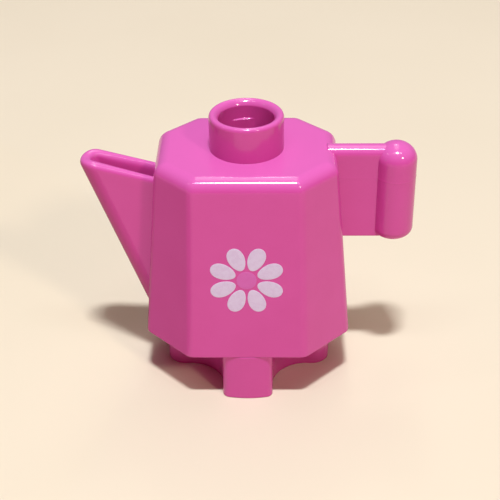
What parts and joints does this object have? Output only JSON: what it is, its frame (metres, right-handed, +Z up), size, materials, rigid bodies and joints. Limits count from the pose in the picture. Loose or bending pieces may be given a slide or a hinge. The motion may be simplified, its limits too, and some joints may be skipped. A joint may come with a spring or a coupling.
{
  "type": "toy coffee pot",
  "caption": "Small tapered octagonal toy coffee pot with a flat open spout, webbed round-grip handle, hollow stud on its deck and a cross-shaped foot with a stud socket.",
  "frame": {"origin": "on the ground, on the common axis of the deck's stud and the foot's socket", "axes": "+Z up along the stud's axis, the printed front face looks along -Y, the spout points along -X and the handle along +X"},
  "size_m": [0.0427, 0.0216, 0.0362],
  "materials": {
    "pink_plastic": "glossy moulded plastic, one colour throughout"
  },
  "bodies": {
    "root": {"body_shell": "pink_plastic", "stud_cup": "pink_plastic", "spout": "pink_plastic", "handle": "pink_plastic", "foot_base": "pink_plastic"}
  },
  "joints": []
}
